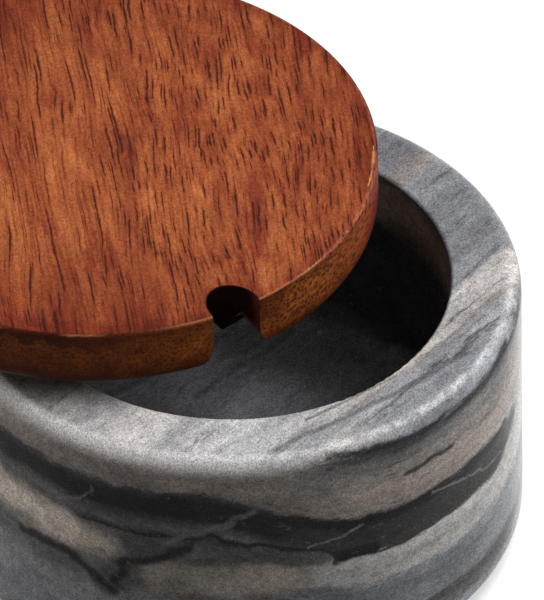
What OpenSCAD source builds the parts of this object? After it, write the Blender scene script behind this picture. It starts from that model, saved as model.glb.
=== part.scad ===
// Salt cellar: a turned marble bowl on a non-slip pad, with a loose wooden lid that has a spoon notch.
// The lid lies set aside on the rim, as it does while someone takes salt.
// Millimetres, +Z up. The origin is on the table, under the bowl's axis, and the notch faces -Y.

/* [Bowl] */
// Outer diameter of the bowl
bowl_d = 102; // [84:0.5:130]
// Height of the marble, without the pad under it
bowl_h = 52.5; // [30:0.5:80]
// Thickness of the wall round the well
wall_t = 12.5; // [9:0.5:16]
// Thickness of the floor under the well
floor_t = 11; // [6:0.5:18]
// Round on the rim's outer edge
rim_round = 3.4; // [1:0.1:5]
// Round on the rim's inner edge, at the mouth
mouth_round = 0.6; // [0.2:0.1:1.5]
// Round on the outer edge of the base
base_round = 4; // [1:0.1:7]
// Fillet between the well's floor and its wall
well_fillet = 7; // [2:0.5:12]

/* [Lid] */
// How far the disc's edge lies inside the bowl's outer edge, all round, when the lid is closed
lid_inset = 0.7; // [0:0.1:4]
// Thickness of the wooden disc
lid_t = 11.8; // [8:0.1:18]
// Round on the disc's top edge
lid_top_round = 0.7; // [0.3:0.1:2]
// Round on the disc's lower edge
lid_edge_round = 2.6; // [1:0.1:3.5]
// Depth of the plug that drops into the mouth
plug_depth = 5.1; // [3:0.1:9]
// Gap between the plug and the well's wall, all round, when the lid is closed
plug_clearance = 0.6; // [0.3:0.1:1.5]
// Round on the plug's lower edge
plug_round = 2; // [0.5:0.1:2.5]

/* [Spoon notch] */
// Width of the notch
notch_w = 9.4; // [6:0.2:14]
// How far the notch reaches in from the lid's edge, at the top face
notch_reach = 6.7; // [4:0.1:9]
// Lean of the notch from the vertical, so that a spoon's handle leaves the well at a slant
notch_lean = 40; // [30:1:45]
// Round along the notch's lower edges, under the disc
notch_round = 5.4; // [2:0.1:6]

/* [Lid set aside] */
// How far back from the bowl's axis the lid's centre lies
lid_back = 25; // [20:0.5:30]
// How far to the left of the bowl's axis the lid's centre lies
lid_left = 13.8; // [6:0.2:18]

/* [Pad] */
// How far the non-slip pad's edge lies inside the flat of the base
pad_inset = 5; // [1:0.5:12]
// Thickness of the pad
pad_t = 1.6; // [1:0.1:3]
// Round on the pad's lower edge
pad_round = 0.5; // [0.2:0.1:0.8]

/* [Hidden] */
$fn = 96;
// How far each cut runs past the face that it opens
overrun = 1;
bowl_r = bowl_d / 2;
mouth_r = bowl_r - wall_t;
rim_z = pad_t + bowl_h;
pad_r = bowl_r - base_round - pad_inset;
lid_r = bowl_r - lid_inset;
plug_r = mouth_r - plug_clearance;
lid_h = plug_depth + lid_t;
notch_r = notch_w / 2;
// Where the axis of the notch's round end meets the lid's top face
notch_y_top = lid_r - notch_reach + notch_r / cos(notch_lean);
// Half of the notch cutter's length, enough to pass the lid at its lean
notch_half_l = (lid_h + notch_w) / cos(notch_lean);

// What a round takes off a corner whose tip is at the origin, on a body that lies towards -X and -Y
module corner_waste(radius) {
    translate([-radius, -radius])
        difference() {
            square(radius + overrun);
            circle(radius);
        }
}

// Half section of the pad, from the table up
module pad_profile() {
    difference() {
        square([pad_r, pad_t]);
        translate([pad_r, 0])
            mirror([0, 1])
                corner_waste(pad_round);
    }
}

// Half section of the well's hollow, with the fillet left standing in its lower corner
module well_profile() {
    difference() {
        translate([-overrun, floor_t])
            square([mouth_r + overrun, bowl_h - floor_t + overrun]);
        translate([mouth_r, floor_t])
            mirror([0, 1])
                corner_waste(well_fillet);
    }
}

// Half section of the bowl, from its base up
module bowl_profile() {
    difference() {
        square([bowl_r, bowl_h]);
        well_profile();
        translate([bowl_r, bowl_h])
            corner_waste(rim_round);
        translate([mouth_r, bowl_h])
            mirror([1, 0])
                corner_waste(mouth_round);
        translate([bowl_r, 0])
            mirror([0, 1])
                corner_waste(base_round);
    }
}

// Half section of the lid, from the plug's lower face up
module lid_profile() {
    difference() {
        translate([0, plug_depth])
            square([lid_r, lid_t]);
        translate([lid_r, lid_h])
            corner_waste(lid_top_round);
        translate([lid_r, plug_depth])
            mirror([0, 1])
                corner_waste(lid_edge_round);
    }
    difference() {
        square([plug_r, lid_h - lid_top_round]);
        translate([plug_r, 0])
            mirror([0, 1])
                corner_waste(plug_round);
    }
}

// A leaning block outside the plane where the notch's straight walls meet its round end
module notch_outside(width) {
    translate([0, -notch_y_top, lid_h])
        rotate([notch_lean, 0, 0])
            translate([-width / 2, -lid_r, -notch_half_l])
                cube([width, lid_r, 2 * notch_half_l]);
}

// The leaning round-ended slot that lets a spoon's handle out, open at the lid's edge
module notch_cutter() {
    translate([0, -notch_y_top, lid_h])
        rotate([notch_lean, 0, 0])
            cylinder(r = notch_r, h = 2 * notch_half_l, center = true);
    notch_outside(notch_w);
}

// The round along one lower edge of the notch, from the slot's round end out past the lid's edge
module notch_edge_cutter() {
    intersection() {
        translate([notch_r, 0, plug_depth])
            rotate([90, 0, 0])
                linear_extrude(lid_r + overrun)
                    mirror([1, 0])
                        mirror([0, 1])
                            corner_waste(notch_round);
        notch_outside(2 * lid_r);
    }
}

module base_pad() {
    color("#3a3b3c")
        rotate_extrude()
            pad_profile();
}

module marble_bowl() {
    color("#8d8e90")
        translate([0, 0, pad_t])
            rotate_extrude()
                bowl_profile();
}

module wooden_lid() {
    color("#9a4d24")
        translate([-lid_left, lid_back, rim_z])
            difference() {
                rotate_extrude()
                    lid_profile();
                notch_cutter();
                notch_edge_cutter();
                mirror([1, 0, 0])
                    notch_edge_cutter();
            }
}

base_pad();
marble_bowl();
wooden_lid();
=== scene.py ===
"""Salt cellar: a banded marble bowl on its pad, with a notched wooden lid set aside on the rim.

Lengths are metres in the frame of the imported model, unless a name ends in _MM. Materials work in
millimetres, from each object's own coordinates. Angles are degrees.
"""
import math
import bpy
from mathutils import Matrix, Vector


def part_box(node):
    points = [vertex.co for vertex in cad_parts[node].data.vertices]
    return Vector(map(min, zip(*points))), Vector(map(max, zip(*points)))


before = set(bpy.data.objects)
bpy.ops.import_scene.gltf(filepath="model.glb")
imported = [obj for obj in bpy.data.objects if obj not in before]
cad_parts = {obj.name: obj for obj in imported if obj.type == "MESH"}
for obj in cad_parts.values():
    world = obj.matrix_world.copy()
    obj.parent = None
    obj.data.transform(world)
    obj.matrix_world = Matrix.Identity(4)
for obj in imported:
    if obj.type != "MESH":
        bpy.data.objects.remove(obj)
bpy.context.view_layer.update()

from types import SimpleNamespace

import bpy
from mathutils import Matrix, Vector

MM = 0.001

# Places that the frame gives
LID_LOW, LID_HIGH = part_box("wooden_lid")
BOWL_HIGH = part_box("marble_bowl")[1]
LID_RADIUS_MM = (LID_HIGH.x - LID_LOW.x) / 2 / MM
LID_TOP_MM = LID_HIGH.z / MM
LID_CENTRE_MM = (LID_LOW + LID_HIGH) / 2 / MM
LID_CENTRE_MM.y = LID_HIGH.y / MM - LID_RADIUS_MM
BOWL_RADIUS_MM = BOWL_HIGH.x / MM
RIM_MM = BOWL_HIGH.z / MM
RIM_CENTRE = Vector((0, 0, BOWL_HIGH.z))

# The well's radius and the height of its floor, as the part's source gives them
WELL_RADIUS_MM = 38.5
WELL_FLOOR_MM = 12.6

# The notch's half width, its reach at the lid's top face, its lean, and the disc's thickness
NOTCH_HALF_MM = 4.7
NOTCH_REACH_MM = 6.7
NOTCH_LEAN = 40
DISC_MM = 11.8

# The photograph's viewpoint, fitted to the outlines of the rim, the mouth and the lid
VIEW_AZIMUTH = -29.8
VIEW_ELEVATION = 39.95
VIEW_ROLL = -0.93
VIEW_DISTANCE = 3.06
VIEW_LENS = 1036.8
VIEW_SENSOR = 36
VIEW_RIGHT = 6.78 * MM
VIEW_UP = -4.02 * MM


# Node helpers

def feed(tree, socket, value):
    """Links an output to the socket, or sets the socket to a plain value."""
    if isinstance(value, bpy.types.NodeSocket):
        tree.links.new(value, socket)
    else:
        socket.default_value = value


def add(tree, kind, inputs, **settings):
    """Adds a node, sets it up, and feeds its inputs by name or number."""
    node = tree.nodes.new(kind)
    for name, value in settings.items():
        setattr(node, name, value)
    for key, value in inputs.items():
        feed(tree, node.inputs[key], value)
    return node


def calc(tree, operation, first, second=0.0, third=0.0):
    """One Math node's result."""
    inputs = {0: first, 1: second, 2: third}
    return add(tree, "ShaderNodeMath", inputs, operation=operation).outputs[0]


def chain(tree, operation, values):
    """Several values taken together by one operation."""
    result = values[0]
    for value in values[1:]:
        result = calc(tree, operation, result, value)
    return result


def total(tree, *values):
    """The sum of several values."""
    return chain(tree, "ADD", values)


def times(tree, *values):
    """The product of several values."""
    return chain(tree, "MULTIPLY", values)


def most(tree, *values):
    """The largest of several values."""
    return chain(tree, "MAXIMUM", values)


def nudged(tree, base, by, amount):
    """The base, moved by an amount of another value."""
    return calc(tree, "MULTIPLY_ADD", by, amount, base)


def vector_calc(tree, operation, first, second, result="Vector"):
    """One Vector Math node's result."""
    inputs = {0: first, 1: second}
    return add(tree, "ShaderNodeVectorMath", inputs, operation=operation).outputs[result]


def scaled(tree, vector, factor):
    """A vector times a factor."""
    inputs = {0: vector, "Scale": factor}
    return add(tree, "ShaderNodeVectorMath", inputs, operation="SCALE").outputs["Vector"]


def moved(tree, vector, offset):
    """A vector moved by an offset, such as one that takes noise from another place."""
    return vector_calc(tree, "ADD", vector, offset)


def length(tree, vector):
    """A vector's length."""
    return vector_calc(tree, "LENGTH", vector, (0, 0, 0), "Value")


def level_length(tree, vector):
    """The length of a vector's level part."""
    return length(tree, vector_calc(tree, "MULTIPLY", vector, (1, 1, 0)))


def split(tree, vector):
    """The three parts of a vector."""
    return add(tree, "ShaderNodeSeparateXYZ", {"Vector": vector}).outputs


def join(tree, x, y, z):
    """A vector from its three parts."""
    return add(tree, "ShaderNodeCombineXYZ", {"X": x, "Y": y, "Z": z}).outputs["Vector"]


def ease(tree, value, start, end, low=0.0, high=1.0):
    """A smooth step of the value, from low at start to high at end."""
    inputs = {"Value": value, "From Min": start, "From Max": end, "To Min": low, "To Max": high}
    node = add(tree, "ShaderNodeMapRange", inputs, interpolation_type="SMOOTHSTEP")
    return node.outputs["Result"]


def blend(tree, factor, first, second, mode="MIX"):
    """The first colour with the second laid over it by a factor."""
    node = tree.nodes.new("ShaderNodeMix")
    node.data_type = "RGBA"
    node.blend_type = mode
    for number, value in ((0, factor), (6, first), (7, second)):
        feed(tree, node.inputs[number], (*value, 1) if isinstance(value, tuple) else value)
    return node.outputs[2]


def stain(tree, factor, colour, tint):
    """A colour with a tint multiplied into it by a factor."""
    return blend(tree, factor, colour, tint, "MULTIPLY")


def shade(tree, colour, amount):
    """A colour times a grey value."""
    return stain(tree, 1.0, colour, join(tree, amount, amount, amount))


def ramp(tree, value, stops):
    """A colour ramp over stops of (place, colour), whose places may be in any unit."""
    low, high = stops[0][0], stops[-1][0]
    inputs = {"Value": value, "From Min": low, "From Max": high}
    share = add(tree, "ShaderNodeMapRange", inputs).outputs["Result"]
    node = add(tree, "ShaderNodeValToRGB", {"Fac": share})
    elements = node.color_ramp.elements
    while len(elements) < len(stops):
        elements.new(0.5)
    for element, (place, colour) in zip(elements, stops):
        element.position = (place - low) / (high - low)
        element.color = (*colour, 1)
    return node.outputs["Color"]


def bump(tree, shader, height, depth_mm, strength, **settings):
    """Fine relief on a shader, from a value that rises by a depth in mm."""
    inputs = {"Height": height, "Distance": depth_mm * MM, "Strength": strength}
    node = add(tree, "ShaderNodeBump", inputs, **settings)
    feed(tree, shader.inputs["Normal"], node.outputs["Normal"])


def new_group(name, inputs, outputs):
    """A shader node group with its sockets; returns it with its input and output sockets."""
    tree = bpy.data.node_groups.new(name, "ShaderNodeTree")
    for direction, sockets in (("INPUT", inputs), ("OUTPUT", outputs)):
        for label, kind in sockets.items():
            tree.interface.new_socket(label, in_out=direction, socket_type=f"NodeSocket{kind}")
    given = tree.nodes.new("NodeGroupInput").outputs
    return tree, given, tree.nodes.new("NodeGroupOutput").inputs


def new_material(name):
    """A material with its Principled shader already on the output."""
    material = bpy.data.materials.new(name)
    material.use_nodes = True
    tree = material.node_tree
    tree.nodes.clear()
    shader = tree.nodes.new("ShaderNodeBsdfPrincipled")
    output = tree.nodes.new("ShaderNodeOutputMaterial")
    tree.links.new(shader.outputs["BSDF"], output.inputs["Surface"])
    return material, tree, shader


# Effects that more than one material uses

def make_drawn_frame():
    """Millimetres along, across and above a level direction: a wood's grain or a stone's strike."""
    tree, given, made = new_group("Drawn frame", {"Angle": "Float"}, {"Frame": "Vector"})
    in_mm = scaled(tree, tree.nodes.new("ShaderNodeTexCoord").outputs["Object"], 1 / MM)
    inputs = {"Vector": in_mm, "Angle": calc(tree, "RADIANS", given["Angle"])}
    turned = add(tree, "ShaderNodeVectorRotate", inputs, rotation_type="Z_AXIS", invert=True)
    feed(tree, made["Frame"], turned.outputs["Vector"])
    return tree


def make_stretched_noise():
    """Noise with set lengths along, across and above the drawn direction, from -1 to 1."""
    sockets = {"Frame": "Vector", "Lengths": "Vector", "Detail": "Float", "Roughness": "Float"}
    tree, given, made = new_group("Stretched noise", sockets, {"Value": "Float"})
    inputs = {
        "Vector": vector_calc(tree, "DIVIDE", given["Frame"], given["Lengths"]),
        "Scale": 1.0, "Detail": given["Detail"], "Roughness": given["Roughness"],
    }
    value = add(tree, "ShaderNodeTexNoise", inputs).outputs["Fac"]
    feed(tree, made["Value"], calc(tree, "MULTIPLY_ADD", value, 2.0, -1.0))
    return tree


def make_speckle():
    """Crisp grains of a set size in mm, each with one value from -1 to 1."""
    sockets = {"Frame": "Vector", "Size": "Float"}
    tree, given, made = new_group("Speckle", sockets, {"Value": "Float"})
    size = join(tree, given["Size"], given["Size"], given["Size"])
    shrunk = vector_calc(tree, "DIVIDE", given["Frame"], size)
    luck = add(tree, "ShaderNodeTexVoronoi", {"Vector": shrunk, "Scale": 1.0}).outputs["Color"]
    feed(tree, made["Value"], calc(tree, "MULTIPLY_ADD", split(tree, luck)[0], 2.0, -1.0))
    return tree


def make_edge_line_group():
    """A mask of a line along a round edge, used for wear, painted highlights and a dark line: its
    axis, top, radius, half width and depth.
    """
    sockets = {
        "Frame": "Vector", "Axis": "Vector", "Top": "Float", "Line Radius": "Float",
        "Half Width": "Float", "Depth": "Float",
    }
    tree, given, made = new_group("Edge line", sockets, {"Mask": "Float"})
    radius = level_length(tree, vector_calc(tree, "SUBTRACT", given["Frame"], given["Axis"]))
    off_line = calc(tree, "ABSOLUTE", calc(tree, "SUBTRACT", radius, given["Line Radius"]))
    below_top = calc(tree, "SUBTRACT", given["Top"], split(tree, given["Frame"])[2])
    near = ease(tree, off_line, given["Half Width"], times(tree, given["Half Width"], 0.1))
    high = ease(tree, below_top, given["Depth"], times(tree, given["Depth"], 0.5))
    feed(tree, made["Mask"], times(tree, near, high))
    return tree


DRAWN_FRAME = make_drawn_frame()
STRETCHED_NOISE = make_stretched_noise()
SPECKLE = make_speckle()
EDGE_LINE_GROUP = make_edge_line_group()


def use(tree, group, inputs):
    """Places a shared effect and returns its result."""
    node = tree.nodes.new("ShaderNodeGroup")
    node.node_tree = group
    for key, value in inputs.items():
        feed(tree, node.inputs[key], value)
    return node.outputs[0]


def drawn(tree, angle):
    """The frame vector of a material whose grain or strike lies at the angle."""
    return use(tree, DRAWN_FRAME, {"Angle": angle})


def stretched(tree, place, lengths, detail=2.0, roughness=0.5):
    """One use of the stretched noise."""
    inputs = {"Frame": place, "Lengths": lengths, "Detail": detail, "Roughness": roughness}
    return use(tree, STRETCHED_NOISE, inputs)


def speckle(tree, place, size):
    """One use of the speckle."""
    return use(tree, SPECKLE, {"Frame": place, "Size": size})


def edge_line_mask(tree, place, axis, top, radius, half_width, depth):
    """One use of the edge line."""
    inputs = {
        "Frame": place, "Axis": axis, "Top": top, "Line Radius": radius,
        "Half Width": half_width, "Depth": depth,
    }
    return use(tree, EDGE_LINE_GROUP, inputs)


# Drawn lines

def line_gap(tree, place, points):
    """Distance in mm from a line through several points."""
    gaps = []
    for start, end in zip(points, points[1:]):
        way = (end - start).normalized()
        off_start = vector_calc(tree, "SUBTRACT", place, tuple(start))
        run = vector_calc(tree, "DOT_PRODUCT", off_start, tuple(way), "Value")
        run = calc(tree, "MINIMUM", most(tree, run, 0.0), (end - start).length)
        foot = scaled(tree, tuple(way), run)
        gaps.append(vector_calc(tree, "DISTANCE", off_start, foot, "Value"))
    return chain(tree, "MINIMUM", gaps)


def lines_mask(tree, place, lines):
    """A mask of several lines of (points, half width), each soft over its own width."""
    return most(tree, *(
        ease(tree, line_gap(tree, place, points), half_width * 1.8, half_width * 0.3)
        for points, half_width in lines
    ))


def placed(lines, where):
    """Lines with each point put where it belongs by a function."""
    return [([where(*point) for point in points], half_width) for points, half_width in lines]


# Marble

STRIKE_ANGLE = 20
# Pale tones for the rim's outer round: SHOULDER_HIGHLIGHT is a painted highlight;
# WORN_AND_HIGHLIGHT is worn stone and partly a painted highlight
WORN_AND_HIGHLIGHT = (0.66, 0.65, 0.65)
SHOULDER_HIGHLIGHT = (0.56, 0.53, 0.53)
CREAM = (0.43, 0.405, 0.395)
PALE = (0.44, 0.43, 0.438)
FAWN = (0.435, 0.41, 0.395)
DOVE = (0.355, 0.35, 0.358)
SAND = (0.37, 0.355, 0.34)
BROWN = (0.66, 0.572, 0.495)
TAN = (0.275, 0.234, 0.206)
TAUPE = (0.225, 0.2, 0.184)
OCHRE = (0.52, 0.45, 0.38)
CLAY = (0.33, 0.288, 0.25)
UMBER = (0.14, 0.115, 0.1)
# LIP_BOUNCE_LIGHT: a warm tone for painted light bounced from the lid inside the mouth
LIP_BOUNCE_LIGHT = (0.46, 0.355, 0.265)
RIM_GREY = (0.185, 0.19, 0.205)
BLUE_GREY = (0.2, 0.204, 0.22)
WALL_BLUE = (0.165, 0.171, 0.182)
RIM_STEEL = (0.255, 0.258, 0.275)
STEEL = (0.29, 0.295, 0.32)
SILVER = (0.27, 0.27, 0.272)
VEIN = (0.17, 0.17, 0.17)
DRAB = (0.15, 0.143, 0.138)
MID_GREY = (0.14, 0.138, 0.138)
ASH = (0.1, 0.099, 0.099)
SLATE = (0.06, 0.06, 0.062)
COAL = (0.062, 0.062, 0.063)
GRAPHITE = (0.031, 0.031, 0.0315)
CHARCOAL = (0.019, 0.019, 0.0195)
JET = (0.0105, 0.0105, 0.011)

# The stone's beds by height in mm, read up the wall where they lie flat
LOW_BEDS_MM = [(0, MID_GREY), (4, TAUPE), (8, STEEL), (11, RIM_STEEL), (15, RIM_STEEL)]
HIGH_BEDS_MM = [
    (46.8, TAUPE), (48.8, TAN), (51.2, TAN), (53, TAUPE), (55, TAUPE), (56.5, DRAB), (58.2, DRAB),
    (58.8, ASH), (59.3, SLATE), (61, SLATE), (61.9, BLUE_GREY), (64, BLUE_GREY),
]
RIGHT_BEDS_MM = LOW_BEDS_MM + [
    (17, MID_GREY), (19.6, SLATE), (20.8, SLATE), (21.6, WALL_BLUE), (29.5, WALL_BLUE),
    (31.3, SAND), (36.7, SAND), (37.3, GRAPHITE), (42.6, GRAPHITE), (44.2, JET), (45.9, JET),
] + HIGH_BEDS_MM
LEFT_BEDS_MM = LOW_BEDS_MM + [
    (19.5, SILVER), (23.5, MID_GREY), (27, MID_GREY), (28.4, ASH), (35.5, ASH), (36, CHARCOAL),
    (36.6, SLATE), (38.2, MID_GREY), (40.2, SLATE), (41.2, CHARCOAL), (44.6, CHARCOAL),
    (45.9, SLATE),
] + HIGH_BEDS_MM
CORE_BEDS_MM = [(0, MID_GREY), (6, ASH), (11, SLATE), (16, COAL), (45.9, COAL)] + HIGH_BEDS_MM

# The rim's bands by distance across the strike in mm, towards the front
RIGHT_BANDS_MM = [
    (-50, RIM_GREY), (2, RIM_GREY), (5, TAUPE), (8, RIM_GREY), (25.5, RIM_GREY), (27.5, MID_GREY),
    (29, RIM_GREY), (31.5, BLUE_GREY), (33, FAWN), (38.6, FAWN), (39.6, TAUPE), (40.4, RIM_STEEL),
    (43.2, RIM_STEEL), (43.8, SLATE), (44.6, BLUE_GREY), (51, BLUE_GREY),
]
# On the left, the taupe from -20 to -7 mm, beside the lid, is painted shadow of the lid, laid in as
# a brown band
LEFT_BANDS_MM = [
    (-50, BLUE_GREY), (-20, TAUPE), (-7, TAUPE), (0, SAND), (5, PALE), (9, CREAM), (14, CREAM),
    (20, DOVE), (25, PALE), (30, DOVE), (35, DOVE), (36.6, MID_GREY), (38, RIM_STEEL), (44, SAND),
]

# Bearing of the middle of the wall's drawn part; points on the wall are (bearing, height in mm)
WALL_MIDDLE = -120

# Patches on the wall that depart from the beds: points, reach and softness in mm, colour
WALL_PATCHES = [
    ([(-158, 31.8), (-147.5, 31)], 2.5, 2.4, OCHRE),
    ([(-215, 32.5), (-158, 31.9)], 3.4, 3, BROWN),
    ([(-147, 22.5), (-140, 27.5)], 2.8, 1, ASH),
    ([(-135, 26.6), (-109, 27.4)], 3.4, 1.4, CLAY),
    ([(-127, 34.2), (-112, 32.2), (-103, 29.8)], 1.8, 0.7, ASH),
    ([(-99, 29.4), (-92, 29.2)], 1.5, 0.5, JET),
]

# Dark lines on the wall, then pale veins: points, half width in mm
DARK_LINES = [
    ([(-168, 25.4), (-159, 26.7), (-155.5, 26.9), (-153, 25.6), (-149, 23.2), (-145, 21)], 0.9),
    ([
        (-128.5, 35), (-133, 32.5), (-138, 30), (-142.5, 28.7), (-143.6, 27.4), (-143, 26),
        (-145, 23.5),
    ], 0.85),
    ([
        (-128, 38), (-122, 36.6), (-113, 34.5), (-107, 32.8), (-101, 31.4), (-99.8, 30.4),
        (-100.5, 28),
    ], 0.45),
    ([(-84, 43.3), (-71.5, 43.3)], 0.45),
    ([
        (-101, 52.4), (-95, 52), (-84.5, 51.2), (-75, 50.9), (-58.5, 50.9), (-54, 51.3),
        (-49, 52),
    ], 0.65),
]
PALE_VEINS = [
    ([(-116.5, 43.2), (-120.5, 41.6), (-121.5, 40), (-125, 38.8), (-130, 37.3), (-133.5, 35)], 0.6),
    ([(-128, 35), (-129, 32.5), (-132, 30.2)], 0.7),
    ([(-149.5, 43.5), (-150, 41.8), (-153, 40), (-156, 39), (-161, 36.8)], 0.3),
    ([(-106, 33), (-100, 34.2), (-94, 35.2)], 0.25),
    ([(-77.5, 35.3), (-69, 33.5), (-60, 31), (-53, 29.7)], 0.25),
]

# Streaks on the rim, then on the well's floor: points along and across the strike, half width in mm
RIM_STREAKS = [
    ([(-31, 36), (-26, 37), (-16.3, 40.1), (-5.5, 42.7), (9.3, 45.1)], 0.5),
    ([(-22, 34.6), (-14, 37), (-3, 39.4)], 0.35),
]
FLOOR_STREAKS = [
    ([(-8, -28.8), (-1.4, -28.3), (8, -25.8)], 0.9),
    ([(8, -15.9), (14.8, -16.1), (23, -14.8), (32, -14)], 0.75),
]

# Noise in the stone: lengths along, across and up in mm, detail, roughness
SLOW_WAVER = ((45, 18, 14), 2)
QUICK_WAVER = ((12, 4, 2.6), 4, 0.62)
FEATHER = ((3, 0.8, 0.5), 2, 0.6)
SWIRL = ((6, 6, 6), 4, 0.6)
RIPPLE = ((16, 16, 6), 3, 0.6)
CLOUD = ((20, 7, 4), 4, 0.6)
MOTTLE = ((2.2, 1.6, 1.4), 3, 0.6)
DARK_WISP = ((26, 3.0, 0.8), 5, 0.62)
HAIRLINE = ((13, 1.2, 0.5), 4, 0.6)
PALE_WISP = ((22, 2.5, 0.8), 5, 0.62)

# How far in mm the beds waver, and how far the drawn lines swirl round the wall and up it
SLOW_WAVER_MM, QUICK_WAVER_MM, FEATHER_MM = 1.6, 1.5, 0.7
SWIRL_ROUND_MM, SWIRL_UP_MM = 2.0, 1.6

# The beds fold down towards the front, from one distance across the strike to the other
FOLD_ACROSS_MM = (28, 50)
FOLD_DROP_MM = 9.7

# The black bed: its middle, the half thickness over which it fades, and the taper at its end
BLACK_MIDDLE_MM = 41.6
BLACK_HALF_MM = (6.2, 4.8)
BLACK_TAPER_HALF_MM, BLACK_TAPER_MM = 4.6, 8

# The dark core: where it thickens, its foot where it is thinnest, how far that sinks, also on
# the well's right wall, and how soft and how rippled it is
CORE_ALONG_MM = (-46, 40)
CORE_ACROSS_MM = (44, -34)
CORE_FOOT_MM, CORE_SINK_MM = 46.0, 52.0
CORE_SOFT_MM = 2.2
RIPPLE_MM = 9.0
CORE_WELL_SINK_MM = 20

# The worn line on the rim's outer edge, partly a painted highlight, and the painted highlight on
# the shoulder outside it: inset, half width, depth
EDGE_WEAR_AND_HIGHLIGHT_MM = (1.9, 1.0, 2.0)
SHOULDER_MM = (1.1, 2.0, 4.6)

# Crystal size, then cell and radius of the dark pits and of the glints, in mm
CRYSTAL_MM = 0.19
PIT_CELL_MM, PIT_RADIUS_MM = 1.2, 0.16
GLINT_CELL_MM, GLINT_RADIUS_MM = 1.7, 0.17


def on_wall(bearing, height):
    """A place on the unrolled wall, in mm from its middle bearing and from the table."""
    return Vector((math.radians(bearing - WALL_MIDDLE) * BOWL_RADIUS_MM, height, 0))


def on_level(along, across):
    """A place on a level face of the stone, in mm along and across the strike."""
    return Vector((along, across, 0))


def unrolled_wall(tree):
    """Millimetres round the wall from its middle bearing, and up."""
    ahead, sideways, height = split(tree, drawn(tree, WALL_MIDDLE))
    turn = calc(tree, "ARCTAN2", sideways, ahead)
    return join(tree, times(tree, turn, BOWL_RADIUS_MM), height, 0.0)


def swirled_wall(tree, place):
    """The unrolled wall with a small swirl, so that drawn lines don't run straight."""
    swirl = times(tree, stretched(tree, place, *SWIRL), SWIRL_ROUND_MM)
    elsewhere = moved(tree, place, (31, 17, 43))
    swirl_up = times(tree, stretched(tree, elsewhere, *SWIRL), SWIRL_UP_MM)
    return moved(tree, unrolled_wall(tree), join(tree, swirl, swirl_up, 0.0))


def specks(tree, place, cell, radius):
    """A mask of small round dots, one to a cell."""
    shrunk = scaled(tree, place, 1 / cell)
    gap = add(tree, "ShaderNodeTexVoronoi", {"Vector": shrunk, "Scale": 1.0}).outputs["Distance"]
    return ease(tree, gap, radius / cell, radius / cell * 0.5)


def lie_of_stone(tree):
    """Where a point of the bowl lies in the stone: by the strike, the beds, the axis, the wall."""
    place = drawn(tree, STRIKE_ANGLE)
    along, back, height = split(tree, place)
    across = times(tree, back, -1.0)
    slow = times(tree, stretched(tree, place, *SLOW_WAVER), SLOW_WAVER_MM)
    quick = times(tree, stretched(tree, place, *QUICK_WAVER), QUICK_WAVER_MM)
    feather = times(tree, stretched(tree, place, *FEATHER), FEATHER_MM)
    waver = total(tree, slow, quick, feather)
    bed = total(tree, height, ease(tree, across, *FOLD_ACROSS_MM, 0, FOLD_DROP_MM), waver)
    return SimpleNamespace(
        place=place, along=along, across=across, height=height, waver=waver, bed=bed,
        bedded=join(tree, along, across, bed),
        strayed=nudged(tree, along, quick, 4.0),
        radius=level_length(tree, place),
        wall=swirled_wall(tree, place),
        mottle=stretched(tree, place, *MOTTLE),
        crystals=speckle(tree, place, CRYSTAL_MM),
    )


def beds(tree, stone):
    """The beds' colours up the wall, with another order on the bowl's left."""
    leftward = ease(tree, stone.strayed, -24, -42)
    right, left = ramp(tree, stone.bed, RIGHT_BEDS_MM), ramp(tree, stone.bed, LEFT_BEDS_MM)
    return blend(tree, leftward, right, left)


def wall_patches(tree, stone, colour):
    """The patches on the front of the wall."""
    for points, reach, soft, tone in WALL_PATCHES:
        gap = line_gap(tree, stone.wall, [on_wall(*point) for point in points])
        colour = blend(tree, ease(tree, gap, reach + soft, reach - soft), colour, tone)
    return colour


def black_bed_end_and_edge_sheen(tree, stone, colour):
    """Sand-coloured stone past the black bed's tapered end, on the bowl's right; at that edge the
    pale stone is partly a painted sheen.
    """
    off_middle = calc(tree, "ABSOLUTE", calc(tree, "SUBTRACT", stone.bed, BLACK_MIDDLE_MM))
    taper = ease(tree, off_middle, 0, BLACK_TAPER_HALF_MM, 0, BLACK_TAPER_MM)
    past_end = ease(tree, total(tree, stone.strayed, taper), 20, 25)
    in_bed = ease(tree, off_middle, *BLACK_HALF_MM, 0, 0.9)
    at_front = ease(tree, stone.across, 20, 26)
    # At the bowl's right edge this sand colour is partly a painted sheen
    return blend(tree, times(tree, past_end, in_bed, at_front), colour, SAND)


def dark_core(tree, stone, colour):
    """The dark core, which thickens to the bowl's right and back and spares the well's floor."""
    sideways = ease(tree, stone.along, *CORE_ALONG_MM)
    thickening = times(tree, sideways, ease(tree, stone.across, *CORE_ACROSS_MM))
    elsewhere = moved(tree, stone.place, (3, 71, 19))
    ripple = times(tree, stretched(tree, elsewhere, *RIPPLE), RIPPLE_MM)
    on_well_wall = times(
        tree, ease(tree, stone.radius, WELL_RADIUS_MM + 5.5, WELL_RADIUS_MM + 0.5),
        ease(tree, stone.height, WELL_FLOOR_MM + 2.4, WELL_FLOOR_MM + 11.4),
        ease(tree, stone.along, 0, 20, 0, CORE_WELL_SINK_MM),
    )
    foot = nudged(tree, CORE_FOOT_MM, thickening, -CORE_SINK_MM)
    above_foot = calc(tree, "SUBTRACT", total(tree, stone.bed, ripple, on_well_wall), foot)
    off_floor = most(
        tree, ease(tree, stone.radius, WELL_RADIUS_MM + 0.5, WELL_RADIUS_MM + 2.5),
        ease(tree, stone.height, WELL_FLOOR_MM + 0.9, WELL_FLOOR_MM + 4.4),
    )
    begun = times(tree, ease(tree, thickening, 0.01, 0.08), off_floor)
    core = times(tree, ease(tree, above_foot, -CORE_SOFT_MM, CORE_SOFT_MM), begun)
    return blend(tree, core, colour, ramp(tree, stone.bed, CORE_BEDS_MM))


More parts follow.
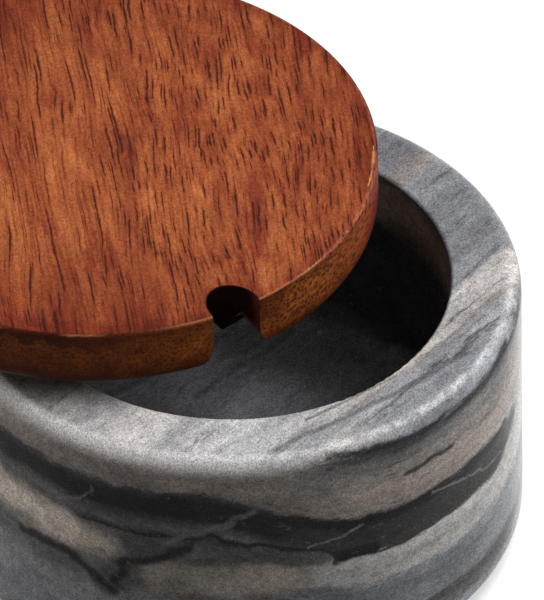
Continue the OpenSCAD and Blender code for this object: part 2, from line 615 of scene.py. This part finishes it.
def well_shade_and_bounce(tree, stone, colour):
    """Painted shade over the right half of the well's floor, which the lid shades, and painted
    light bounced from the lid onto the mouth's inside wall on the right.
    """
    well_floor_shade = times(
        tree, ease(tree, stone.strayed, 9, 27), ease(tree, stone.across, 38, 24),
        ease(tree, stone.height, WELL_FLOOR_MM + 6.4, WELL_FLOOR_MM + 0.4, 0, 0.93),
    )
    colour = blend(tree, well_floor_shade, colour, SLATE)
    lid_bounce = times(
        tree, ease(tree, stone.along, 8, 24), ease(tree, stone.height, 41, 47),
        ease(tree, stone.radius, WELL_RADIUS_MM + 1.1, WELL_RADIUS_MM + 0.4, 0, 0.75),
    )
    return blend(tree, lid_bounce, colour, LIP_BOUNCE_LIGHT)


def rim_bands(tree, stone, colour):
    """The bands over the rim's level face, with another order on its left."""
    swerve = nudged(tree, stone.across, stone.waver, 1.6)
    leftward = ease(tree, stone.strayed, -10, -28)
    right, left = ramp(tree, swerve, RIGHT_BANDS_MM), ramp(tree, swerve, LEFT_BANDS_MM)
    on_rim = ease(tree, total(tree, stone.height, stone.waver), RIM_MM - 2.6, RIM_MM - 0.8)
    return blend(tree, on_rim, colour, blend(tree, leftward, right, left))


def dark_streaks(tree, stone, colour):
    """Streaks on the rim and on the well's floor, and the dark lines on the wall."""
    level = join(tree, stone.along, nudged(tree, stone.across, stone.waver, 0.4), 0.0)
    on_rim = ease(tree, stone.height, RIM_MM - 2.1, RIM_MM - 0.5, 0, 0.75)
    streaks = lines_mask(tree, level, placed(RIM_STREAKS, on_level))
    colour = blend(tree, times(tree, streaks, on_rim), colour, ASH)
    on_floor = ease(tree, stone.height, WELL_FLOOR_MM + 3.4, WELL_FLOOR_MM + 0.8, 0, 0.4)
    streaks = lines_mask(tree, level, placed(FLOOR_STREAKS, on_level))
    colour = blend(tree, times(tree, streaks, on_floor), colour, CHARCOAL)
    on_outside = ease(tree, stone.radius, BOWL_RADIUS_MM - 8, BOWL_RADIUS_MM - 5, 0, 0.92)
    lines = lines_mask(tree, stone.wall, placed(DARK_LINES, on_wall))
    return blend(tree, times(tree, lines, on_outside), colour, CHARCOAL)


def clouds_and_wisps(tree, stone, colour):
    """Cloudy lights and darks in the beds, a mottle over them, and fine wisps along them."""
    cloud = stretched(tree, stone.bedded, *CLOUD)
    colour = shade(tree, colour, ease(tree, cloud, -0.6, 0.6, 0.68, 1.34))
    colour = shade(tree, colour, ease(tree, stone.mottle, -0.6, 0.6, 0.82, 1.2))
    dark_wisp = ease(tree, stretched(tree, stone.bedded, *DARK_WISP), 0.16, 0.42, 0, 0.58)
    colour = stain(tree, dark_wisp, colour, MID_GREY)
    hairline = ease(tree, stretched(tree, stone.bedded, *HAIRLINE), 0.24, 0.42, 0, 0.4)
    colour = stain(tree, hairline, colour, UMBER)
    elsewhere = moved(tree, stone.bedded, (17, 53, 29))
    pale_wisp = ease(tree, stretched(tree, elsewhere, *PALE_WISP), 0.2, 0.5, 0, 0.3)
    return blend(tree, pale_wisp, colour, PALE)


def pale_veins(tree, stone, colour):
    """The pale veins on the wall, broken by the mottle."""
    veins = lines_mask(tree, stone.wall, placed(PALE_VEINS, on_wall))
    broken = times(tree, veins, ease(tree, stone.mottle, -0.5, 0.5, 0.4, 1))
    return blend(tree, broken, colour, VEIN, "LIGHTEN")


def worn_and_lit_rim(tree, stone, colour):
    """A painted highlight on the shoulder of the rim's left, and a worn line along the rim's outer
    edge that is partly a painted highlight.
    """
    inset, half_width, depth = SHOULDER_MM
    shoulder = edge_line_mask(
        tree, stone.place, (0, 0, 0), RIM_MM, BOWL_RADIUS_MM - inset, half_width, depth,
    )
    lit_shoulder = times(tree, shoulder, ease(tree, stone.along, -24, -40, 0, 0.85))
    colour = blend(tree, lit_shoulder, colour, SHOULDER_HIGHLIGHT)
    inset, half_width, depth = EDGE_WEAR_AND_HIGHLIGHT_MM
    edge = edge_line_mask(
        tree, stone.place, (0, 0, 0), RIM_MM, BOWL_RADIUS_MM - inset, half_width, depth,
    )
    # Worn stone and a painted highlight along the outer edge, fading out towards the back
    wear_and_highlight = times(
        tree, edge, ease(tree, stone.mottle, -0.5, 0.5, 0.12, 0.7), ease(tree, stone.along, 36, 24),
    )
    return blend(tree, wear_and_highlight, colour, WORN_AND_HIGHLIGHT)


def crystal_grain(tree, stone, colour):
    """The stone's crystals, with small dark pits and glints."""
    colour = shade(tree, colour, nudged(tree, 1.0, stone.crystals, 0.4))
    pits = specks(tree, moved(tree, stone.place, (5, 9, 3)), PIT_CELL_MM, PIT_RADIUS_MM)
    colour = shade(tree, colour, ease(tree, pits, 0, 1, 1, 0.5))
    glints = specks(tree, stone.place, GLINT_CELL_MM, GLINT_RADIUS_MM)
    return blend(tree, times(tree, glints, 0.35), colour, PALE)


def marble():
    """Honed grey marble in bent beds, glossier at a grazing angle."""
    material, tree, shader = new_material("banded marble")
    stone = lie_of_stone(tree)
    colour = beds(tree, stone)
    for layer in (
        wall_patches, black_bed_end_and_edge_sheen, dark_core, well_shade_and_bounce, rim_bands, dark_streaks,
        clouds_and_wisps, pale_veins, worn_and_lit_rim, crystal_grain,
    ):
        colour = layer(tree, stone, colour)
    feed(tree, shader.inputs["Base Color"], colour)
    feed(tree, shader.inputs["Roughness"], nudged(tree, 0.28, stone.crystals, 0.06))
    shader.inputs["Specular IOR Level"].default_value = 0.05
    facing = tree.nodes.new("ShaderNodeLayerWeight").outputs["Facing"]
    feed(tree, shader.inputs["Coat Weight"], ease(tree, facing, 0.66, 0.92, 0, 0.4))
    shader.inputs["Coat Roughness"].default_value = 0.2
    bump(tree, shader, stone.mottle, 0.02, 0.5)
    return material


# Wood

GRAIN_ANGLE = 66
WOOD_LIGHT = (0.482, 0.163, 0.05)
WOOD_MID = (0.308, 0.081, 0.0265)
WOOD_DARK = (0.167, 0.0315, 0.014)
WOOD_BRUISE = (0.62, 0.4, 0.56)
WOOD_STAIN = (0.48, 0.28, 0.34)
# WOOD_WORN_AND_LIT: worn lacquer on the top edge, partly a painted highlight
WOOD_WORN_AND_LIT = (0.5, 0.19, 0.08)
# WOOD_BARE_AND_LIT: bare wood on the far right edge, partly a painted highlight
WOOD_BARE_AND_LIT = (0.6, 0.255, 0.08)
# DARK_EDGE_LINE: a dark line along the top edge
DARK_EDGE_LINE = (0.3, 0.2, 0.2)
END_LIGHT = (0.305, 0.094, 0.0155)
END_DARK = (0.11, 0.03, 0.006)
# END_LEFT_PAINTED_SHADE: painted shade on the left of the end-grain faces
END_LEFT_PAINTED_SHADE = (0.66, 0.56, 0.46)
DRIP = (0.38, 0.27, 0.27)
# SIDE_FOOT_SHADE: painted shade on the side's lower part
SIDE_FOOT_SHADE = (0.36, 0.26, 0.26)
PORE = (0.04, 0.01, 0.007)
HALO = (0.62, 0.42, 0.45)
# NOTCH_SHADE: painted shade inside the notch
NOTCH_SHADE = (0.1, 0.06, 0.05)
LONG_TONES = [(-0.6, WOOD_DARK), (0, WOOD_MID), (0.55, WOOD_LIGHT)]
END_TONES = [(-0.5, END_DARK), (0.5, END_LIGHT)]

# Noise in the wood: lengths along, across and up in mm, detail, roughness
SWAY = ((50, 14, 14), 2)
WIGGLE = ((4, 2, 2), 2)
HEAVE = ((36, 9, 9), 2)
BROAD_FIGURE = ((50, 12, 12), 2)
FIGURE = ((13, 4.0, 4.0), 4, 0.6)
FIBRE = ((5, 0.45, 0.45), 2, 0.6)
BRUISE = ((18, 5, 5), 4, 0.6)
END_FIGURE = ((4, 4, 3), 3, 0.6)
BLOT = ((14, 7, 7), 3)
LOBES = ((5, 5, 40), 2)
RAGGED = ((1.6, 1.2, 1.2), 2)

# How far in mm the grain sways, wiggles and heaves, and how much of each figure the colour takes
SWAY_MM, WIGGLE_MM, HEAVE_MM = 3.0, 0.35, 1.1
BROAD_SHARE, FIGURE_SHARE, FIBRE_SHARE = 0.6, 0.8, 0.3

# Cell and half width in mm of the coarse vessels, left and right, and of the fine ones
COARSE_CELL_MM, COARSE_LEFT_MM, COARSE_RIGHT_MM = 0.75, 0.115, 0.135
FINE_CELL_MM, FINE_HALF_MM = 0.55, 0.065
FLECK_MM = 0.27

# The rubbed line on the lid's top edge, partly a painted highlight, and the dark line there: inset,
# half width, depth
RUBBED_AND_LIT_MM = (0.25, 0.22, 0.8)
BRIM_MM = (0.0, 0.7, 1.4)

# Where the top edge is rubbed through to bare wood, partly a painted highlight: bearings round the
# lid, half width in mm
BARE_AND_LIT_INSET_MM = 0.75
BARE_AND_LIT_LINES = [
    ([(-29,), (-31,)], 0.1), ([(-31,), (-36,)], 0.22), ([(-36,), (-38,)], 0.1),
    ([(-38.5,), (-40,)], 0.2), ([(-40,), (-42,)], 0.1),
]

TO_GRAIN = Matrix.Rotation(math.radians(-GRAIN_ANGLE), 3, "Z")
LID_AXIS_MM = tuple(TO_GRAIN @ LID_CENTRE_MM)


def on_lid_edge(bearing):
    """A place on the lid's top edge at a bearing round its axis, in mm of the grain's frame."""
    turn = math.radians(bearing)
    out = Vector((math.cos(turn), math.sin(turn), 0)) * (LID_RADIUS_MM - BARE_AND_LIT_INSET_MM)
    return TO_GRAIN @ (Vector((LID_CENTRE_MM.x, LID_CENTRE_MM.y, LID_TOP_MM)) + out)


def vessel_gap(tree, across, height, ragged, cell, half_width):
    """Distance in mm from the nearest vessel: ragged tubes along the grain, one to a cell."""
    section = join(
        tree, calc(tree, "DIVIDE", across, cell), calc(tree, "DIVIDE", height, cell), 0.0,
    )
    inputs = {"Vector": section, "Scale": 1.0}
    cells = add(tree, "ShaderNodeTexVoronoi", inputs, voronoi_dimensions="2D").outputs
    luck = split(tree, cells["Color"])[0]
    reach = times(
        tree, ease(tree, luck, 0, 1, 0.3, 1.4), half_width, nudged(tree, 1.0, ragged, 0.9),
    )
    return calc(tree, "SUBTRACT", times(tree, cells["Distance"], cell), reach)


def notch_place(tree):
    """Distance in mm from the notch's axis, the way in from the lid's edge, and the depth."""
    x, y, z = split(tree, vector_calc(tree, "SUBTRACT", drawn(tree, 0), tuple(LID_CENTRE_MM)))
    depth = calc(tree, "SUBTRACT", LID_TOP_MM - LID_CENTRE_MM.z, z)
    lean = math.radians(NOTCH_LEAN)
    axis_at_top = NOTCH_REACH_MM - LID_RADIUS_MM - NOTCH_HALF_MM / math.cos(lean)
    from_axis = calc(tree, "SUBTRACT", nudged(tree, y, depth, -math.tan(lean)), axis_at_top)
    inwards = most(tree, times(tree, from_axis, math.cos(lean)), 0.0)
    gap = length(tree, join(tree, x, inwards, 0.0))
    return gap, total(tree, y, LID_RADIUS_MM), depth


def end_grain_share(tree):
    """How much a face cuts across the grain, from 0 to 1."""
    grain_way = (math.cos(math.radians(GRAIN_ANGLE)), math.sin(math.radians(GRAIN_ANGLE)), 0)
    normal = tree.nodes.new("ShaderNodeNewGeometry").outputs["Normal"]
    facing = calc(tree, "ABSOLUTE", vector_calc(tree, "DOT_PRODUCT", normal, grain_way, "Value"))
    return ease(tree, facing, 0.2, 0.75)


def lie_of_wood(tree):
    """Where a point of the lid lies in the wood: by the grain, the axis, the top and the notch."""
    place = drawn(tree, GRAIN_ANGLE)
    along, leftness, level = split(tree, place)
    sway = times(tree, stretched(tree, place, *SWAY), SWAY_MM)
    wiggle = times(tree, stretched(tree, place, *WIGGLE), WIGGLE_MM)
    rightward = ease(tree, leftness, 45, -10)
    dip = times(tree, along, ease(tree, rightward, 0, 1, 0.024, 0.075))
    heave = times(tree, stretched(tree, place, *HEAVE), HEAVE_MM)
    across = total(tree, leftness, sway, wiggle)
    height = total(tree, level, dip, heave)
    to_notch, way_in, depth = notch_place(tree)
    return SimpleNamespace(
        place=place, along=along, leftness=leftness, rightward=rightward, across=across,
        height=height, to_notch=to_notch, way_in=way_in, depth=depth,
        grain=join(tree, along, across, height),
        end_grain=end_grain_share(tree),
        radius=level_length(tree, vector_calc(tree, "SUBTRACT", place, LID_AXIS_MM)),
        blot=stretched(tree, place, *BLOT),
        lobes=stretched(tree, place, *LOBES),
        ragged=stretched(tree, place, *RAGGED),
    )


def long_grain(tree, lid):
    """The figure along the grain, with darker bruises."""
    broad = times(tree, stretched(tree, lid.grain, *BROAD_FIGURE), BROAD_SHARE)
    figure = times(tree, stretched(tree, lid.grain, *FIGURE), FIGURE_SHARE)
    fibre = times(tree, stretched(tree, lid.grain, *FIBRE), FIBRE_SHARE)
    colour = ramp(tree, total(tree, broad, figure, fibre), LONG_TONES)
    bruise = stretched(tree, moved(tree, lid.grain, (7, 61, 13)), *BRUISE)
    return stain(tree, ease(tree, bruise, 0.02, 0.42, 0, 0.9), colour, WOOD_BRUISE)


def end_grain(tree, lid, colour):
    """The browner faces that cut across the grain, with painted shade on the left."""
    end_colour = ramp(tree, stretched(tree, lid.place, *END_FIGURE), END_TONES)
    end_colour = stain(tree, ease(tree, lid.leftness, -5, 22), end_colour, END_LEFT_PAINTED_SHADE)
    return blend(tree, lid.end_grain, colour, end_colour)


def lacquer_stain(tree, lid, colour):
    """Darker, redder lacquer towards the lid's edge, round the notch and on the sides."""
    wide = times(
        tree,
        ease(tree, nudged(tree, lid.radius, lid.blot, 6.0), LID_RADIUS_MM - 32, LID_RADIUS_MM - 4),
        ease(tree, lid.leftness, -5, 40, 0.35, 0.85),
    )
    outward = nudged(tree, lid.radius, lid.blot, 3.0)
    narrow = ease(tree, outward, LID_RADIUS_MM - 4.5, LID_RADIUS_MM - 0.8, 0, 0.4)
    off_notch = nudged(tree, lid.to_notch, lid.blot, 3.0)
    by_notch = ease(tree, off_notch, NOTCH_HALF_MM + 3.5, NOTCH_HALF_MM + 0.4, 0, 0.7)
    sides = ease(tree, lid.depth, 0.5, 1.2)
    stained = most(tree, total(tree, wide, narrow), most(tree, by_notch, sides))
    off_end = calc(tree, "SUBTRACT", 1.0, lid.end_grain)
    return stain(tree, times(tree, stained, off_end), colour, WOOD_STAIN)


def lacquer_runs(tree, lid, colour):
    """Drips on the left of the side, a dark brow under the top edge, and a pool by the notch."""
    drips = ease(tree, nudged(tree, lid.depth, lid.lobes, 6.0), 2.9, 2.3, 0, 0.9)
    drips = times(tree, drips, ease(tree, lid.leftness, 18, 34), lid.end_grain)
    colour = stain(tree, drips, colour, DRIP)
    wavy_depth = nudged(tree, lid.depth, lid.lobes, 2.0)
    at_right = times(tree, lid.end_grain, ease(tree, lid.leftness, 18, 34, 1, 0.3))
    brow = times(tree, ease(tree, wavy_depth, 3.2, 0.4, 0, 0.7), at_right)
    colour = stain(tree, brow, colour, DRIP)
    pool = times(
        tree, ease(tree, lid.to_notch, 13, 5.5), ease(tree, lid.leftness, 4, 0, 0, 0.85),
        ease(tree, wavy_depth, 9, 2.5), lid.end_grain,
    )
    return stain(tree, pool, colour, DRIP)


def shaded_side_foot(tree, lid, colour):
    """Painted shade on the side's lower part."""
    outer = ease(tree, lid.radius, LID_RADIUS_MM - 3.2, LID_RADIUS_MM - 1.6)
    foot = times(tree, ease(tree, lid.depth, 5.2, 10.8), most(tree, lid.end_grain, outer))
    return stain(tree, foot, colour, SIDE_FOOT_SHADE)


def vessels(tree, lid):
    """The distance from the coarse vessels, and a mask of all the open pores."""
    swollen = times(tree, lid.end_grain, ease(tree, lid.leftness, 8, -10, -0.015, 0.11))
    half_width = ease(tree, lid.rightward, 0, 1, COARSE_LEFT_MM, COARSE_RIGHT_MM)
    half_width = total(tree, swollen, half_width)
    coarse = vessel_gap(tree, lid.across, lid.height, lid.ragged, COARSE_CELL_MM, half_width)
    beside = total(tree, lid.across, 31.0)
    fine = vessel_gap(tree, beside, lid.height, lid.ragged, FINE_CELL_MM, FINE_HALF_MM)
    pores = most(tree, ease(tree, coarse, 0.07, -0.05), ease(tree, fine, 0.05, -0.05, 0, 0.6))
    return coarse, pores


def pore_lines(tree, lid, colour, coarse, pores):
    """Dark pores with a halo round the coarse ones, and fine flecks over all."""
    colour = stain(tree, ease(tree, coarse, 0.42, 0.0, 0, 0.6), colour, HALO)
    colour = blend(tree, times(tree, pores, 0.9), colour, PORE)
    flecks = speckle(tree, lid.place, FLECK_MM)
    return shade(tree, colour, nudged(tree, 1.0, flecks, 0.32))


def lid_edge(tree, lid, inset, half_width, depth):
    """A mask of a line along the lid's top edge."""
    line_radius = LID_RADIUS_MM - inset
    return edge_line_mask(tree, lid.place, LID_AXIS_MM, LID_TOP_MM, line_radius, half_width, depth)


def rubbed_and_lit_edge(tree, lid, colour):
    """The paler rubbed line along the top edge, in places and by the notch, partly a painted
    highlight.
    """
    by_notch = ease(tree, lid.to_notch, 18, 7, 0, 0.45)
    rubbed_and_lit_places = most(tree, ease(tree, lid.blot, 0, 0.35, 0, 0.55), by_notch)
    off_right = ease(tree, lid.leftness, -26, -12, 0.2, 1)
    wear_and_highlight = times(tree, lid_edge(tree, lid, *RUBBED_AND_LIT_MM), rubbed_and_lit_places, off_right)
    return blend(tree, wear_and_highlight, colour, WOOD_WORN_AND_LIT)


def bare_and_lit_edge(tree, lid, colour):
    """Bare golden wood where the top edge is rubbed through, on the far right, partly a painted
    highlight.
    """
    bare_and_lit = lines_mask(tree, lid.place, placed(BARE_AND_LIT_LINES, on_lid_edge))
    broken = times(tree, bare_and_lit, ease(tree, lid.ragged, -0.4, 0.4, 0.3, 0.9))
    return blend(tree, broken, colour, WOOD_BARE_AND_LIT)


def brim_mask(tree, lid):
    """A mask of a dark line along the top edge, at the back and the far right."""
    return times(tree, lid_edge(tree, lid, *BRIM_MM), ease(tree, lid.along, 2, 16, 0, 0.85))


def notch_shade_mask(tree, lid):
    """A mask of painted shade in the notch's inside, deeper inwards from the lid's edge."""
    widened = ease(tree, lid.depth, DISC_MM - 1, DISC_MM + 1, 0, 6)
    slot = calc(tree, "SUBTRACT", lid.to_notch, widened)
    in_slot = ease(tree, slot, NOTCH_HALF_MM + 0.3, NOTCH_HALF_MM + 0.05)
    return times(tree, in_slot, ease(tree, lid.way_in, 0, 4, 0.2, 1))


def wood():
    """Red-brown lacquered wood with open pores, dull in the pores and in the notch."""
    material, tree, shader = new_material("lacquered wood")
    lid = lie_of_wood(tree)
    coarse, pores = vessels(tree, lid)
    brim, notch_shade = brim_mask(tree, lid), notch_shade_mask(tree, lid)
    colour = long_grain(tree, lid)
    for layer in (end_grain, lacquer_stain, lacquer_runs, shaded_side_foot):
        colour = layer(tree, lid, colour)
    colour = pore_lines(tree, lid, colour, coarse, pores)
    colour = rubbed_and_lit_edge(tree, lid, colour)
    colour = stain(tree, brim, colour, DARK_EDGE_LINE)
    colour = bare_and_lit_edge(tree, lid, colour)
    # Painted shade inside the notch
    colour = stain(tree, notch_shade, colour, NOTCH_SHADE)
    feed(tree, shader.inputs["Base Color"], colour)
    dull = most(tree, pores, notch_shade, brim)
    feed(tree, shader.inputs["Roughness"], ease(tree, dull, 0, 1, 0.36, 0.8))
    shader.inputs["Specular IOR Level"].default_value = 0.05
    bump(tree, shader, pores, 0.06, 0.5, invert=True)
    return material


# Pad

PAD_DARK = (0.03, 0.03, 0.031)
PAD_LIGHT = (0.065, 0.065, 0.068)
CRUMBS = ((0.7, 0.7, 0.7), 4, 0.7)


def rubber():
    """Dark crumbed rubber."""
    material, tree, shader = new_material("pad rubber")
    crumbs = stretched(tree, drawn(tree, 0), *CRUMBS)
    colour = ramp(tree, crumbs, [(-0.4, PAD_DARK), (0.4, PAD_LIGHT)])
    feed(tree, shader.inputs["Base Color"], colour)
    feed(tree, shader.inputs["Roughness"], ease(tree, crumbs, -0.4, 0.4, 0.7, 0.9))
    bump(tree, shader, crumbs, 0.08, 0.6)
    return material


def dress(node, material):
    """Gives a carried-over node its finish."""
    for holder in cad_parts[node].material_slots:
        holder.material = material


# Stage

FLOOR_SIZE = 6
FLOOR_WHITE = (0.93, 0.93, 0.93)
FLOOR_BOUNCE = (0.12, 0.12, 0.12)

# The distances from the bowl between which the floor fades to plain white
FLOOR_FADE = (0.3, 0.8)
SKY_FILL = 0.05

# Lamps: name, bearing from the camera's side, elevation, distance, width, height, power
LAMPS = [
    ("overhead", 70, 68, 1.0, 0.6, 0.6, 5.4),
    ("right side", 108, 18, 1.0, 0.5, 0.6, 9.5),
    ("left side", -100, 18, 1.0, 0.5, 0.6, 5.5),
    ("front fill", 52, 44, 1.2, 0.5, 0.5, 4),
    ("rim strip", 140, 62, 1.0, 0.08, 1.0, 2.2),
]


def seen_rays(tree):
    """A mask of the rays that show the background: to the camera, in reflections and in glass."""
    path = tree.nodes.new("ShaderNodeLightPath").outputs
    reflected = most(tree, path["Is Glossy Ray"], path["Is Transmission Ray"])
    return most(tree, path["Is Camera Ray"], reflected)


def floor():
    """A plain pale floor: white where it is seen, plain white far off, calmer to bounced light."""
    bpy.ops.mesh.primitive_plane_add(size=FLOOR_SIZE, location=(0, 0, 0))
    plane = bpy.context.object
    plane.name = "floor"
    material, tree, shader = new_material("floor paper")
    seen = seen_rays(tree)
    feed(tree, shader.inputs["Base Color"], blend(tree, seen, FLOOR_BOUNCE, FLOOR_WHITE))
    place = tree.nodes.new("ShaderNodeTexCoord").outputs["Object"]
    glow = times(tree, seen, ease(tree, length(tree, place), *FLOOR_FADE))
    feed(tree, shader.inputs["Emission Color"], join(tree, glow, glow, glow))
    shader.inputs["Emission Strength"].default_value = 1.0
    shader.inputs["Roughness"].default_value = 1.0
    shader.inputs["Specular IOR Level"].default_value = 0.0
    plane.data.materials.append(material)


def softbox(name, azimuth, elevation, distance, width, height, power):
    """An area lamp that faces the rim's middle, from a bearing rightwards of the camera's side."""
    bearing = math.radians(VIEW_AZIMUTH - 90 + azimuth)
    rise = math.radians(elevation)
    level = Vector((math.cos(bearing), math.sin(bearing), 0))
    towards = level * math.cos(rise) + Vector((0, 0, math.sin(rise)))
    data = bpy.data.lights.new(name, "AREA")
    data.shape = "RECTANGLE"
    data.size = width
    data.size_y = height
    data.energy = power
    lamp = bpy.data.objects.new(name, data)
    lamp.location = RIM_CENTRE + towards * distance
    lamp.rotation_euler = towards.to_track_quat("Z", "Y").to_euler()
    bpy.context.scene.collection.objects.link(lamp)


def sky():
    """A soft even fill, white behind everything that the camera sees past the floor."""
    world = bpy.data.worlds.new("studio")
    world.use_nodes = True
    tree = world.node_tree
    tree.nodes.clear()
    fill, white = (
        add(tree, "ShaderNodeBackground", {"Color": (1, 1, 1, 1), "Strength": strength}).outputs[0]
        for strength in (SKY_FILL, 1.0)
    )
    mixed = add(tree, "ShaderNodeMixShader", {0: seen_rays(tree), 1: fill, 2: white}).outputs[0]
    tree.links.new(mixed, tree.nodes.new("ShaderNodeOutputWorld").inputs["Surface"])
    bpy.context.scene.world = world


def camera():
    """A long lens from the photograph's side, at its height and roll."""
    angles = (VIEW_ELEVATION, VIEW_AZIMUTH, VIEW_ROLL)
    rise, turn, roll = (math.radians(angle) for angle in angles)
    back = Matrix.Rotation(turn, 3, "Z") @ Vector((0, -math.cos(rise), math.sin(rise)))
    level_right = Matrix.Rotation(turn, 3, "Z") @ Vector((1, 0, 0))
    level_up = back.cross(level_right)
    right = level_right * math.cos(roll) + level_up * math.sin(roll)
    up = back.cross(right)
    data = bpy.data.cameras.new("photograph")
    data.lens = VIEW_LENS
    data.sensor_width = VIEW_SENSOR
    eye = bpy.data.objects.new("photograph", data)
    place = RIM_CENTRE + back * VIEW_DISTANCE + right * VIEW_RIGHT + up * VIEW_UP
    eye.matrix_world = Matrix.Translation(place) @ Matrix((right, up, back)).transposed().to_4x4()
    bpy.context.scene.collection.objects.link(eye)
    bpy.context.scene.camera = eye


dress("marble_bowl", marble())
dress("wooden_lid", wood())
dress("base_pad", rubber())
floor()
sky()
for lamp in LAMPS:
    softbox(*lamp)
camera()
bpy.context.scene.view_settings.view_transform = "Standard"
